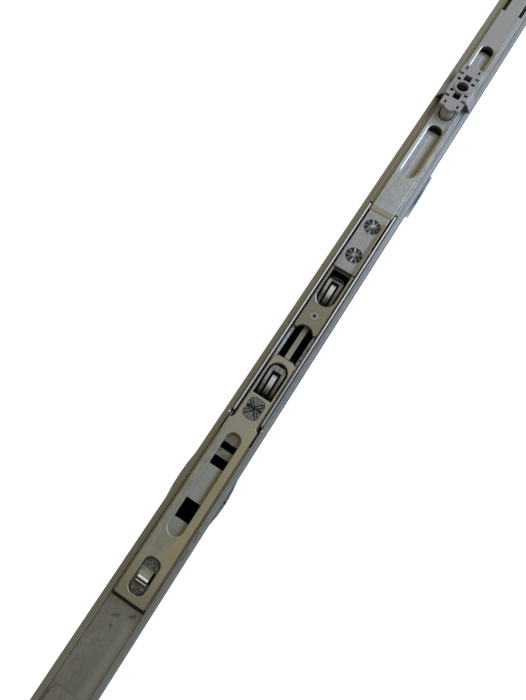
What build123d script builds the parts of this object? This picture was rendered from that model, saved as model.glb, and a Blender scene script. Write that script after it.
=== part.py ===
from build123d import *
import math
import os

os.makedirs("parts", exist_ok=True)

# Espagnolette gear with a 16 mm faceplate channel, a slim gearbox case behind it,
# a drive rod train that slides in the channel and a follower that turns with the spindle.
# Millimetres. X runs up the faceplate, Y across it, Z out of its face.
# The origin is on the spindle axis, midway across the case.

# Fits
running_gap = 0.3          # between pieces that move past each other
pin_clearance = 0.05       # radial, turning pins and journals
seat_clearance = 0.02      # radial, riveted and pressed pieces
side_gap = 0.4             # beside the latch tongue and at the ends of the link bar

# Faceplate channel
backset = 15.0             # spindle axis to the face
faceplate_width = 16.0
faceplate_height = 6.2
flange_width = 1.95
flange_edge_radius = 0.7
flange_inner_radius = 0.2
web_thickness = 1.2
faceplate_below_spindle = 272.0
faceplate_above_spindle = 146.0
end_screw_inset = 7.0
end_screw_diameter = 4.5
hump_start_below_spindle = 152.6
hump_length = 16.4
hump_rise = 0.5
hump_rise_right = 0.8
stake_below_cheek = 1.3
stake_diameter = 0.9
stake_depth = 0.5
ledge_end_above_spindle = 118.0

# Gearing
gear_module = 1.0
pressure_angle = 20.0
addendum_factor = 0.8
dedendum_factor = 1.2
backlash = 0.5
handle_turn = 90.0
sector_margin = 25.0
rack_back_thickness = 0.8
rack_width = 8.0

# Rods and plates
rod_recess = 0.2           # rod tops below the face
rod_width = 9.3
upper_rod_thickness = 1.8
lower_rod_thickness = 2.0
lower_rod_width = 11.8
rod_shoulder_below_spindle = 125.8
plate_thickness = 1.8
edge_break = 0.2           # chamfer along the upper edges

# Train along the faceplate, measured from the spindle
joint_below_spindle = 26.4
block_length = 27.8
block_width = 8.7
block_rivet_diameter = 6.4
block_rivet_inset = 7.2
block_rivet_spacing = 14.1
block_rivet_rise = 0.35
block_rivet_flutes = 9
flute_width = 2.1
flute_depth = 0.5
flute_slope = 7.0          # degrees, deeper towards the rim
flute_start = 0.8
upper_plate_length = 27.7
upper_plate_width = 8.7
upper_plate_chamfer = 0.6
upper_plate_arm_chamfer = 0.9
plates_apart = 12.2
lower_plate_length = 88.4
lower_plate_width = 10.6
lower_plate_neck_width = 8.4
lower_plate_neck_length = 25.6
lower_rod_below_plate = 59.5
rod_lap = 13.4             # lower rod under the coupling block

# Lower window plate
pocket_width = 7.2
lower_pocket_inset = 2.2
lower_pocket_length = 13.4
shield_rivet_inset = 20.4
shield_rivet_width = 5.7
shield_rivet_length = 7.3
shield_rivet_corner = 1.9
shield_rivet_rise = 0.1
shield_groove_width = 0.55
shield_groove_depth = 0.35
shield_groove_offset = 0.45   # either side of each diagonal
shield_groove_start = 0.6
shield_wedge_width = 1.4
rivet_dimple_diameter = 1.2
rivet_dimple_depth = 0.5
plate_slot_inset = 30.3
plate_slot_length = 36.6
plate_slot_width = 5.3
clinch_inset = 74.8
clinch_length = 11.4
clinch_width = 5.5
clinch_corner = 2.1
clinch_drop = 0.35         # boss top below the plate's
clinch_trough_start = 2.8
clinch_trough_length = 5.0
clinch_trough_width = 4.3
clinch_lip_width = 3.6
clinch_lip_places = ((3.4, 0.7), (4.4, 1.1))   # start and foot thickness
clinch_lip_slope = 0.2
clinch_slit_width = 0.7
clinch_slit_start = 4.0
clinch_slit_length = 3.8
plate_corner = 1.4
rod_window_insets = (34.1, 39.2, 55.0)
rod_window_lengths = (2.4, 3.3, 6.7)
rod_window_width = 5.6

# Upper window plate
plate_notch_width = 7.1
plate_notch_depth = 2.2
upper_pocket_inset = 11.3
plate_rivet_inset = 6.6
plate_rivet_diameter = 3.6

# Latches
latch_reach = 11.4         # pivot to nose, along the plate
latch_inset = 0.6          # nose from the round end of its pocket
latch_width = 6.0
latch_tongue_width = 2.0
latch_pivot_drop = 4.6     # below the top of the lower rod
latch_crest = 5.6          # above the pivot
latch_eye_radius = 1.9
latch_pin_diameter = 2.0
latch_nose_rise = 0.8      # nose radius beyond the reach
latch_low_angle = 6.0
latch_arch = 2.9           # solid end of the fork, along the plate
upper_latch_inset = 2.2
cradle_wall = 0.8
cradle_height = 6.6
cradle_overhang = 1.9
latch_spring_thickness = 0.25
latch_spring_rise = 0.7
latch_spring_width = 3.0
link_bar_width = 1.8
link_bar_height = 5.5
link_bar_step = 1.0
link_bar_tuck = 0.9

# Upper rod
upper_rod_above_spindle = 124.0
rod_slot_start_below_spindle = 6.4
rod_slot_length = 28.8
rod_slot_width = 6.0
guide_slot_start = 26.2
guide_slot_length = 46.2
guide_slot_width = 5.65
upper_rod_corner = 0.4
upper_rod_end_corner = 1.0
neck_start = 95.5
neck_length = 22.5
neck_width = 6.2
rack_end = 21.6

# Lower end plate
end_plate_length = 31.4
end_plate_width = 9.8
end_plate_thickness = 0.8
end_plate_corner = 1.9
end_rivet_diameter = 3.2
end_rivet_upper_inset = 2.4
end_rivet_lower_inset = 6.0

# Gearbox case
case_width = 12.0
case_wall = 1.3
case_rim = 1.5
case_above_spindle = 30.0
case_below_latch = 4.0
case_slope_length = 26.0
case_slope_height = 9.0
case_corner = 2.5
cheek_wall = 0.7
cheek_gap = 0.3            # cheek to the flange
cheek_drop = 0.1           # cheek tops below the face
cheek_corner = 1.0
cheek_length = 94.7
cheek_start_below_spindle = 118.4
boss_wall = 1.3
boss_width = 17.3
hub_floor_gap = 1.7
handle_screw_spacing = 43.0
handle_screw_hole = 5.2
sleeve_wall = 0.9
case_rivet_diameter = 3.0
case_rivet_inset = 4.5
case_nose_rivet_inset = 7.0
case_middle_rivet_below_spindle = 47.0

# Follower
spindle_square = 7.0
spindle_clearance = 0.1
journal_diameter = 16.0
hub_shoulder = 1.0

# Detent spring
detent_thickness = 0.5
detent_width = 6.0
detent_foot = 3.5
detent_below_spindle = 26.0
detent_above_spindle = 7.0

# Screw guide clip
clip_screw_above_spindle = 41.0
clip_rise = 4.2            # top above the face
clip_stem_length = 26.8
clip_head_length = 24.4
clip_head_width = 8.9
clip_head_thickness = 1.5
clip_head_corner = 0.8
clip_body_length = 12.2
clip_body_width = 9.6
clip_body_corner = 0.5
clip_screw_hole = 5.0
clip_screw_room = 1.2      # open stretch of the stem beside the screw
clip_ring_diameter = 6.8
clip_ring_rise = 0.3
clip_notch_length = 1.2
clip_bar_width = 5.2       # between the notches
clip_pocket_from_screw = 5.2
clip_pocket_length = 3.2
clip_pocket_width = 3.0
clip_eye_from_screw = 3.4
clip_eye_length = 1.05
clip_eye_width = 1.5
clip_eye_spread = 6.2
clip_eye_depth = 2.5
clip_slot_from_screw = 10.3
clip_slot_length = 1.7
clip_slot_width = 0.7
clip_slot_spread = 5.4
clip_wing_radius = 8.4
clip_wing_thickness = 0.7
clip_wing_span = 15.3
clip_wing_drop = 5.8       # lower edge of the wings from the screw
clip_wing_reach = 0.9      # upper edge of the wings from the screw

# Guides
guide_strip_thickness = 0.7
guide_pad_length = 9.0
guide_pad_inset = 0.8      # first pad short of the slot's end
guide_pad_from_clip = 0.6

# Levels
face_z = backset
web_bottom = face_z - faceplate_height
web_top = web_bottom + web_thickness
channel_half = faceplate_width / 2 - flange_width
rod_top = face_z - rod_recess
upper_rod_bottom = rod_top - upper_rod_thickness
rack_root_z = upper_rod_bottom - rack_back_thickness
addendum = addendum_factor * gear_module
dedendum = dedendum_factor * gear_module
pitch_radius = rack_root_z - dedendum
rack_tip_z = pitch_radius - addendum
lower_rod_top = upper_rod_bottom
lower_rod_bottom = lower_rod_top - lower_rod_thickness
plate_top = lower_rod_top + plate_thickness
latch_pivot_z = lower_rod_top - latch_pivot_drop
hub_radius = journal_diameter / 2 + hub_shoulder
case_bottom = -(hub_radius + hub_floor_gap + case_wall)
cradle_bottom = lower_rod_bottom - cradle_height

# Travel of the rods for the full turn of the handle
travel = pitch_radius * math.radians(handle_turn)

# Stations along X
joint_x = -joint_below_spindle
block_x = joint_x - block_length
upper_plate_x = block_x - upper_plate_length
lower_plate_end_x = upper_plate_x - plates_apart
lower_plate_x = lower_plate_end_x - lower_plate_length
lower_rod_x = lower_plate_x - lower_rod_below_plate
rod_meet_x = block_x + rod_lap
lower_pocket_x1 = lower_plate_end_x - lower_pocket_inset
lower_pocket_x0 = lower_pocket_x1 - lower_pocket_length
upper_pocket_x0 = upper_plate_x + upper_pocket_inset
lower_pivot_x = lower_pocket_x1 - latch_inset - latch_reach
upper_pivot_x = upper_pocket_x0 + upper_latch_inset
latch_nose_radius = latch_reach + latch_nose_rise
cradle_tail = latch_eye_radius + cradle_overhang
cradle_length = cradle_tail + latch_nose_radius + cradle_overhang / 2
first_window_x0 = lower_pocket_x0 - side_gap
first_window_x1 = upper_plate_x + plate_notch_depth + side_gap
case_x0 = lower_pivot_x - cradle_tail - travel - case_below_latch
case_x1 = case_above_spindle
cheek_x0 = -cheek_start_below_spindle
cheek_x1 = cheek_x0 + cheek_length
cheek_outer = channel_half - cheek_gap
rod_shoulder_x = -rod_shoulder_below_spindle
shield_x = lower_plate_end_x - shield_rivet_inset
plate_rivet_x = upper_plate_x + plate_rivet_inset
block_rivet_xs = (block_x + block_rivet_inset, block_x + block_rivet_inset + block_rivet_spacing)
clinch_x0 = lower_plate_end_x - clinch_inset - clinch_length
clinch_x1 = clinch_x0 + clinch_length
end_plate_x1 = lower_rod_x + end_plate_length
end_rivet_xs = (lower_rod_x + end_rivet_lower_inset, end_plate_x1 - end_rivet_upper_inset)
cradle_half = pocket_width / 2
clip_screw_x = clip_screw_above_spindle
case_rivet_places = (
    (case_x0 + case_nose_rivet_inset, cradle_bottom - case_rivet_diameter),
    (-case_middle_rivet_below_spindle, case_bottom + case_rivet_inset),
    (case_x1 - case_rivet_inset, case_bottom + case_rivet_inset),
)


def block(x0, x1, y0, y1, z0, z1):
    """Rectangular solid between two corners."""
    return Pos((x0 + x1) / 2, (y0 + y1) / 2, (z0 + z1) / 2) * Box(x1 - x0, y1 - y0, z1 - z0)


def upright(face, z0, z1):
    """Plan sketch extruded from z0 to z1."""
    return extrude(Pos(0, 0, z0) * face, z1 - z0)


def sideways(face, y0, y1):
    """Side view sketch, drawn in X and Z, extruded across from y0 to y1."""
    plane = Plane(origin=(0, y1, 0), x_dir=(1, 0, 0), z_dir=(0, -1, 0))
    return extrude(plane * face, y1 - y0)


def along(face, x0, x1):
    """Cross-section sketch, drawn in Y and Z, extruded along X."""
    plane = Plane(origin=(x0, 0, 0), x_dir=(0, 1, 0), z_dir=(1, 0, 0))
    return extrude(plane * face, x1 - x0)


def break_top(solid):
    """Chamfer the upper edges of a flat piece."""
    top = solid.faces().sort_by(Axis.Z)[-1]
    return chamfer(top.edges(), edge_break)


def outline(*points):
    """Closed face through the points."""
    return make_face(Polyline(*points, close=True))


def strip(x0, x1, width):
    """Plan rectangle on the centre line."""
    return Pos((x0 + x1) / 2, 0) * Rectangle(x1 - x0, width)


def round_slot(x0, x1, width):
    """Plan slot with round ends on the centre line."""
    return Pos((x0 + x1) / 2, 0) * SlotOverall(x1 - x0, width)


def rounded_strip(x0, x1, width, radius):
    """Plan rectangle on the centre line with rounded corners."""
    return Pos((x0 + x1) / 2, 0) * RectangleRounded(x1 - x0, width, radius)


def cross_pin(x, z, radius, y0, y1):
    """Round pin along Y."""
    return sideways(Pos(x, z) * Circle(radius), y0, y1)


def save(name, solid, colour):
    """Write one node."""
    solid.label = name
    solid.color = Color(*colour)
    export_step(solid, f"parts/{name}.step")


ZINC = (0.72, 0.72, 0.70)
PASSIVATED = (0.74, 0.69, 0.58)
STEEL = (0.60, 0.61, 0.62)
DARK = (0.10, 0.10, 0.11)
NYLON = (0.74, 0.72, 0.74)


def faceplate():
    """Channel with a web, two thick flanges, a shallow hump and cut-outs for the gearbox."""
    x0 = -faceplate_below_spindle
    x1 = faceplate_above_spindle
    half = faceplate_width / 2
    section = outline(
        (-half, web_bottom), (half, web_bottom), (half, face_z), (channel_half, face_z),
        (channel_half, web_top), (-channel_half, web_top), (-channel_half, face_z), (-half, face_z))
    outer = [v for v in section.vertices() if abs(v.Y - face_z) < 0.01 and abs(v.X) > half - 0.01]
    section = fillet(outer, flange_edge_radius)
    inner = [v for v in section.vertices() if abs(v.Y - face_z) < 0.01 and abs(v.X) < channel_half + 0.01]
    section = fillet(inner, flange_inner_radius)
    body = along(section, x0, x1)

    hump_x0 = -hump_start_below_spindle
    hump_x1 = hump_x0 + hump_length
    hump_mid = (hump_x0 + hump_x1) / 2
    rib = channel_half + flange_width / 2
    for side, rise in ((1, hump_rise), (-1, hump_rise_right)):
        rim = ThreePointArc((hump_x0, side * half), (hump_mid, side * (half + rise)),
                            (hump_x1, side * half))
        base = Polyline((hump_x1, side * half), (hump_x1, side * rib),
                        (hump_x0, side * rib), (hump_x0, side * half))
        body += upright(make_face(rim + base), web_bottom, face_z - flange_edge_radius)

    latch_way = 2 * (cradle_half + cradle_wall + running_gap)
    gear_way = rack_width + 4 * running_gap
    ledges = strip(cheek_x1, ledge_end_above_spindle, 2 * channel_half)
    ledges -= strip(cheek_x1, ledge_end_above_spindle, gear_way)
    body += upright(ledges, web_top, upper_rod_bottom - running_gap)
    open_x0 = case_x0 + case_rim
    open_x1 = case_x1 - case_rim
    body -= upright(strip(open_x0, rod_shoulder_x, latch_way), web_bottom, web_top)
    body -= upright(strip(rod_shoulder_x, cheek_x1, 2 * channel_half), web_bottom, web_top)
    body -= upright(strip(cheek_x1, open_x1, gear_way), web_bottom, web_top)

    for side in (1, -1):
        stake = Pos(cheek_x0 - stake_below_cheek, side * channel_half) * Circle(stake_diameter / 2)
        body -= upright(stake, face_z - stake_depth, face_z)
    for x in (x0 + end_screw_inset, x1 - end_screw_inset, clip_screw_x):
        body -= upright(Pos(x, 0) * Circle(end_screw_diameter / 2), web_bottom, web_top)
    return body


def lower_rod():
    """Flat rod under the window plates, wide below its shoulder, open under the latches."""
    body = upright(strip(lower_rod_x, rod_shoulder_x, lower_rod_width), lower_rod_bottom, lower_rod_top)
    body += upright(strip(rod_shoulder_x, rod_meet_x, rod_width), lower_rod_bottom, lower_rod_top)
    window = pocket_width
    body -= upright(strip(first_window_x0, first_window_x1, window), lower_rod_bottom, lower_rod_top)
    second_x0 = upper_pocket_x0 - side_gap
    second_x1 = block_x - side_gap
    body -= upright(strip(second_x0, second_x1, window), lower_rod_bottom, lower_rod_top)
    for inset, length in zip(rod_window_insets, rod_window_lengths):
        x1 = lower_plate_end_x - inset
        body -= upright(strip(x1 - length, x1, rod_window_width), lower_rod_bottom, lower_rod_top)
    holes = [(shield_x, shield_rivet_width / 4), (plate_rivet_x, plate_rivet_diameter / 4),
             (block_rivet_xs[0], block_rivet_diameter / 4)]
    holes += [(x, end_rivet_diameter / 2) for x in end_rivet_xs]
    for x, radius in holes:
        hole = Pos(x, 0) * Circle(radius + seat_clearance)
        body -= upright(hole, lower_rod_bottom, lower_rod_top)

    body += clinch()
    slit_y = -clinch_lip_width / 2
    slit_x0 = clinch_x0 + clinch_slit_start
    body -= block(slit_x0, slit_x0 + clinch_slit_length, slit_y - clinch_slit_width, slit_y,
                  lower_rod_bottom, plate_top)
    return body


def clinch():
    """Boss that the rod fills the plate's clinch hole with: a trough across it and two folded lips."""
    high = plate_top - clinch_drop
    face = rounded_strip(clinch_x0 + seat_clearance, clinch_x1 - seat_clearance,
                         clinch_width - 2 * seat_clearance, clinch_corner)
    body = upright(face, lower_rod_top, high)
    trough_x0 = clinch_x0 + clinch_trough_start
    trough = strip(trough_x0, trough_x0 + clinch_trough_length, clinch_trough_width)
    body -= upright(trough, lower_rod_top, high)
    for start, thickness in clinch_lip_places:
        x0 = clinch_x0 + start
        x1 = x0 + thickness
        lip = outline((x0, lower_rod_top), (x1, lower_rod_top), (x1 - clinch_lip_slope, plate_top),
                      (x0 + clinch_lip_slope, plate_top))
        body += sideways(lip, -clinch_lip_width / 2, clinch_lip_width / 2)
    return body


def stepped_rivet(x, head, head_bottom, head_top, shank_bottom):
    """Flush rivet: wide upset head above, half-width shank below."""
    body = upright(Pos(x, 0) * Circle(head / 2), head_bottom, head_top)
    body += upright(Pos(x, 0) * Circle(head / 4), shank_bottom, head_bottom)
    return body


def groove(width, depth, start, end, slope):
    """Tool for a groove in a flat top at z = 0, from start to end along X, deeper outwards by its slope."""
    section = outline((-width / 2, 0), (width / 2, 0), (0, -depth))
    lifted = outline((-width / 2, 0), (width / 2, 0), (width / 2, depth), (-width / 2, depth))
    return Rot(0, slope, 0) * along(section + lifted, start, end)


def dimple(x, top):
    """Conical punch mark."""
    radius = rivet_dimple_diameter / 2
    return Pos(x, 0, top - rivet_dimple_depth / 2) * Cone(0.1 * radius, radius, rivet_dimple_depth)


def block_rivet(x):
    """Rivet in the coupling block, its head upset proud of the block and fluted all round."""
    radius = block_rivet_diameter / 2
    top = rod_top + block_rivet_rise
    body = stepped_rivet(x, block_rivet_diameter, lower_rod_top, top, lower_rod_bottom)
    flute = groove(flute_width, flute_depth, flute_start, radius + flute_start, flute_slope)
    for number in range(block_rivet_flutes):
        body -= Pos(x, 0, top) * Rot(0, 0, number * 360 / block_rivet_flutes) * flute
    return body


def lower_window_plate():
    """Long plate with a neck, a latch pocket, a shield hole, a long slot and a clinch hole."""
    x0 = lower_plate_x
    x1 = lower_plate_end_x
    shoulder = x1 - lower_plate_neck_length
    wide = lower_plate_width / 2
    neck = lower_plate_neck_width / 2
    face = outline(
        (x0, -wide), (shoulder - (wide - neck), -wide), (shoulder, -neck), (x1 - plate_corner, -neck),
        (x1, plate_corner - neck), (x1, neck - plate_corner), (x1 - plate_corner, neck),
        (shoulder, neck), (shoulder - (wide - neck), wide), (x0, wide))
    face -= pocket_face(lower_pocket_x0, lower_pocket_x1, 1)
    face -= shield_face(seat_clearance)
    slot_x1 = x1 - plate_slot_inset
    face -= round_slot(slot_x1 - plate_slot_length, slot_x1, plate_slot_width)
    face -= rounded_strip(clinch_x0, clinch_x1, clinch_width, clinch_corner)
    return break_top(upright(face, lower_rod_top, plate_top))


def pocket_face(x0, x1, round_end):
    """Latch pocket in plan, round at its upper end for 1 and at its lower end for -1."""
    radius = pocket_width / 2
    if round_end > 0:
        return strip(x0, x1 - radius, pocket_width) + Pos(x1 - radius, 0) * Circle(radius)
    return strip(x0 + radius, x1, pocket_width) + Pos(x0 + radius, 0) * Circle(radius)


def shield_face(grow):
    """Plan of the shield rivet."""
    half = shield_rivet_length / 2 + grow
    return rounded_strip(shield_x - half, shield_x + half, shield_rivet_width + 2 * grow,
                         shield_rivet_corner + grow)


def shield_rivet():
    """Rivet that holds the lower window plate to its rod, cross-struck with double grooves."""
    top = plate_top + shield_rivet_rise
    reach = shield_rivet_length
    body = upright(shield_face(0), lower_rod_top, top)
    body += upright(Pos(shield_x, 0) * Circle(shield_rivet_width / 4), lower_rod_bottom, lower_rod_top)
    fine = groove(shield_groove_width, shield_groove_depth, shield_groove_start, reach, 0)
    wedge = groove(shield_wedge_width, shield_groove_depth, shield_groove_start, reach, flute_slope)
    for quarter in range(4):
        turn = Pos(shield_x, 0, top) * Rot(0, 0, 45 + 90 * quarter)
        body -= turn * Pos(0, shield_groove_offset) * fine
        body -= turn * Pos(0, -shield_groove_offset) * fine
    for angle in (90, 270):
        body -= Pos(shield_x, 0, top) * Rot(0, 0, angle) * wedge
    return body - dimple(shield_x, top)


def upper_window_plate():
    """Short plate with a notched lower end and a latch pocket open at its upper end."""
    x0 = upper_plate_x
    x1 = block_x
    half = upper_plate_width / 2
    face = strip(x0, x1, upper_plate_width)
    face = chamfer([v for v in face.vertices() if v.X < x0 + half], upper_plate_chamfer)
    face = chamfer([v for v in face.vertices() if v.X > x1 - 0.01], upper_plate_arm_chamfer)
    radius = plate_notch_width / 2
    notch = Pos(x0 + plate_notch_depth - radius, 0) * Circle(radius)
    face -= notch
    face -= pocket_face(upper_pocket_x0, x1, -1)
    face -= Pos(plate_rivet_x, 0) * Circle(plate_rivet_diameter / 2 + seat_clearance)
    return upright(face, lower_rod_top, plate_top)


def upper_plate_rivet():
    """Flush rivet of the upper window plate, punched at its centre."""
    body = stepped_rivet(plate_rivet_x, plate_rivet_diameter, lower_rod_top, plate_top, lower_rod_bottom)
    return body - dimple(plate_rivet_x, plate_top)


def coupling_block():
    """Block that couples the lower rod to the rack bar, level with the upper rod."""
    body = upright(strip(block_x, joint_x, block_width), lower_rod_top, rod_top)
    body = break_top(body)
    for x in block_rivet_xs:
        hole = Pos(x, 0) * Circle(block_rivet_diameter / 2 + seat_clearance)
        body -= upright(hole, lower_rod_top, rod_top)
    return body


def rack_face():
    """Side view of the toothed stretch of the rack bar, teeth pointing down."""
    pitch = math.pi * gear_module
    lean = math.tan(math.radians(pressure_angle))
    half = (pitch / 2 - backlash / 2) / 2
    root_half = half + dedendum * lean
    tip_half = half - addendum * lean
    first = -2
    last = math.floor((rack_end - root_half) / pitch)
    points = [((first - 0.5) * pitch, upper_rod_bottom), ((first - 0.5) * pitch, rack_root_z)]
    for number in range(first, last + 1):
        x = number * pitch
        points += [(x - root_half, rack_root_z), (x - tip_half, rack_tip_z),
                   (x + tip_half, rack_tip_z), (x + root_half, rack_root_z)]
    points += [(rack_end, rack_root_z), (rack_end, upper_rod_bottom)]
    return outline(*points)


def rack_bar():
    """Bar under the upper rod that the follower drives."""
    half = rack_width / 2
    plain_end = -2.5 * math.pi * gear_module
    body = sideways(rack_face(), -half, half)
    body += block(rod_meet_x + running_gap, plain_end, -half, half, lower_rod_bottom, upper_rod_bottom)
    hole = Pos(block_rivet_xs[1], 0) * Circle(block_rivet_diameter / 4 + seat_clearance)
    body -= upright(hole, lower_rod_bottom, upper_rod_bottom)
    return body


def upper_rod():
    """Flat rod with two long slots and a necked end that takes the next rod."""
    x1 = upper_rod_above_spindle
    face = rounded_strip(joint_x, neck_start, rod_width, upper_rod_corner)
    face += strip(neck_start, neck_start + neck_length, neck_width)
    face += rounded_strip(neck_start + neck_length, x1, rod_width, upper_rod_end_corner)
    slot_x0 = -rod_slot_start_below_spindle
    face -= round_slot(slot_x0, slot_x0 + rod_slot_length, rod_slot_width)
    face -= round_slot(guide_slot_start, guide_slot_start + guide_slot_length, guide_slot_width)
    return break_top(upright(face, upper_rod_bottom, rod_top))


def lower_end_plate():
    """Thin plate on the lower end of the lower rod."""
    face = rounded_strip(lower_rod_x, end_plate_x1, end_plate_width, end_plate_corner)
    for x in end_rivet_xs:
        face -= Pos(x, 0) * Circle(end_rivet_diameter / 2 + seat_clearance)
    return upright(face, lower_rod_top, lower_rod_top + end_plate_thickness)


def end_plate_rivets():
    """Straight rivets through the end plate and the rod, peened flush."""
    rivets = []
    for x in end_rivet_xs:
        shank = Pos(x, 0) * Circle(end_rivet_diameter / 2)
        rivets.append(upright(shank, lower_rod_bottom, lower_rod_top + end_plate_thickness))
    return Compound(children=rivets)


def link_bar():
    """Bar on edge that bridges the gap between the window plates."""
    tuck = link_bar_tuck
    x0 = lower_plate_end_x - tuck
    x1 = first_window_x1
    top = lower_rod_top
    low = top - link_bar_height
    high = top + link_bar_step
    face = outline(
        (x0, low), (x1, low), (x1, top), (upper_plate_x - side_gap, top),
        (upper_plate_x - side_gap, high), (lower_plate_end_x + side_gap, high),
        (lower_plate_end_x + side_gap, top), (x0, top))
    return sideways(face, -link_bar_width / 2, link_bar_width / 2)


def latch_side(reach):
    """Side view of a latch about its pivot, nose towards +X, face round about the pivot."""
    nose = latch_nose_radius
    top_angle = math.asin(latch_crest / nose)
    low_angle = math.radians(latch_low_angle)
    crest = (nose * math.cos(top_angle), latch_crest)
    tip = (nose * math.cos(low_angle), nose * math.sin(low_angle))
    middle_angle = (top_angle + low_angle) / 2
    middle = (nose * math.cos(middle_angle), nose * math.sin(middle_angle))
    eye = latch_eye_radius
    back = Spline((-0.5 * eye, 0.87 * eye), (0.45 * reach, 0.86 * latch_crest), crest,
                  tangents=[(0.87, 0.5), (1.0, 0.0)])
    lines = back + ThreePointArc(crest, middle, tip) + Line(tip, (0.2 * eye, -0.98 * eye))
    lines += ThreePointArc((0.2 * eye, -0.98 * eye), (-eye, 0), (-0.5 * eye, 0.87 * eye))
    face = make_face(lines)
    return face - Circle(latch_pin_diameter / 2 + pin_clearance)


def place_latch(solid, x):
    """Set a latch piece that was drawn about its pivot at its station."""
    return Pos(x, 0, latch_pivot_z) * solid


def latch_fork(x):
    """Fork with two legs joined by a round arch at the nose."""
    half = latch_width / 2
    slot = latch_tongue_width / 2 + side_gap
    body = sideways(latch_side(latch_reach), -half, half)
    slot_end = latch_reach - latch_arch
    body -= block(-2 * latch_eye_radius, slot_end, -slot, slot, -latch_reach, latch_reach)
    tip_x = latch_reach + latch_inset - (pocket_width - latch_width) / 2
    plan = Pos(tip_x - half, 0) * Circle(half) + strip(-2 * latch_eye_radius, tip_x - half, latch_width)
    body &= upright(plan, -latch_reach, latch_reach)
    return place_latch(body, x)


def latch_tongue(x):
    """Middle leaf of the latch, in the slot of the fork."""
    half = latch_tongue_width / 2
    body = sideways(latch_side(latch_reach), -half, half)
    end = latch_reach - latch_arch - side_gap
    body -= block(end, 2 * latch_reach, -2 * half, 2 * half, -latch_reach, latch_reach)
    return place_latch(body, x)


def latch_cradle(x):
    """Sheet cradle under the lower rod, open above and at its ends, that holds the latch pin."""
    outer = cradle_half + cradle_wall
    x0 = -cradle_tail
    x1 = x0 + cradle_length
    low = cradle_bottom - latch_pivot_z
    high = lower_rod_bottom - latch_pivot_z
    body = block(x0, x1, -outer, outer, low, high)
    body -= block(x0, x1, -cradle_half, cradle_half, low + cradle_wall, high)
    body -= cross_pin(0, 0, latch_pin_diameter / 2 + seat_clearance, -outer, outer)
    return place_latch(body, x)


def latch_pin(x):
    """Pivot pin of a latch."""
    end = cradle_half + cradle_wall
    return cross_pin(x, latch_pivot_z, latch_pin_diameter / 2, -end, end)


def latch_spring(x):
    """Bowed leaf on the cradle floor under the latch."""
    floor = cradle_bottom + cradle_wall - latch_pivot_z
    thick = latch_spring_thickness
    rise = latch_spring_rise
    x0 = latch_eye_radius
    x1 = latch_reach
    middle = (x0 + x1) / 2
    lines = ThreePointArc((x0, floor), (middle, floor + rise), (x1, floor))
    lines += Line((x1, floor), (x1, floor + thick))
    lines += ThreePointArc((x1, floor + thick), (middle, floor + rise + thick), (x0, floor + thick))
    lines += Line((x0, floor + thick), (x0, floor))
    half = latch_spring_width / 2
    return place_latch(sideways(make_face(lines), -half, half), x)


def involute(base, angle):
    """Point of the involute of a base circle after unrolling by an angle, from the X axis."""
    return (base * (math.cos(angle) + angle * math.sin(angle)),
            base * (math.sin(angle) - angle * math.cos(angle)))


def tooth_half_outline(root, tip):
    """Radius and half angle of one flank of a tooth, from root to tip."""
    base = pitch_radius * math.cos(math.radians(pressure_angle))
    thickness = math.pi * gear_module / 2 - backlash / 2
    roll = math.tan(math.radians(pressure_angle))
    at_pitch = roll - math.radians(pressure_angle)
    half_at_pitch = thickness / 2 / pitch_radius
    flank = []
    for step in range(5):
        radius = max(root, base) + (tip - max(root, base)) * step / 4
        unrolled = math.sqrt(max(radius ** 2 / base ** 2 - 1, 0))
        x, y = involute(base, unrolled)
        flank.append((radius, half_at_pitch + at_pitch - math.atan2(y, x)))
    if root < base:
        flank.insert(0, (root, flank[0][1] + 0.01))
    return flank


def sector_face():
    """Side view of the toothed sector, its first teeth at the rack at rest."""
    root = pitch_radius - dedendum
    tip = pitch_radius + addendum
    pitch_angle = math.pi * gear_module / pitch_radius
    margin = math.radians(sector_margin)
    first = math.ceil(-margin / pitch_angle - 0.5)
    last = math.floor((math.radians(handle_turn) + margin) / pitch_angle - 0.5)
    flank = tooth_half_outline(root, tip)
    points = [(0.0, 0.0)]
    start = (first + 0.5) * pitch_angle - pitch_angle / 2
    points.append((root * math.sin(start), root * math.cos(start)))
    for number in range(first, last + 1):
        centre = (number + 0.5) * pitch_angle
        rising = [(r, centre - a) for r, a in flank]
        falling = [(r, centre + a) for r, a in reversed(flank)]
        points += [(r * math.sin(a), r * math.cos(a)) for r, a in rising + falling]
    end = (last + 0.5) * pitch_angle + pitch_angle / 2
    points.append((root * math.sin(end), root * math.cos(end)))
    return outline(*points)


def follower_hub():
    """Hub with a square hole, two journals and a toothed sector."""
    half = rack_width / 2
    journal = boss_width / 2 - running_gap / 2
    body = cross_pin(0, 0, hub_radius, -half, half)
    body += cross_pin(0, 0, journal_diameter / 2, -journal, journal)
    body += sideways(sector_face(), -half, half)
    size = spindle_square + spindle_clearance
    body -= block(-size / 2, size / 2, -journal, journal, -size / 2, size / 2)
    return body


def case_side_face(grow):
    """Side view of the case, drawn in by a wall for its cavity."""
    x0 = case_x0 + grow
    x1 = case_x1 - grow
    low = case_bottom + grow
    slope = case_x0 + case_slope_length
    shoulder = web_bottom - case_slope_height + grow / 2
    face = outline((x0, web_bottom), (x0, shoulder), (slope, low), (x1, low), (x1, web_bottom))
    corners = [v for v in face.vertices() if v.Y < web_bottom - 0.1]
    return fillet(corners, case_corner - grow)


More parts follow.
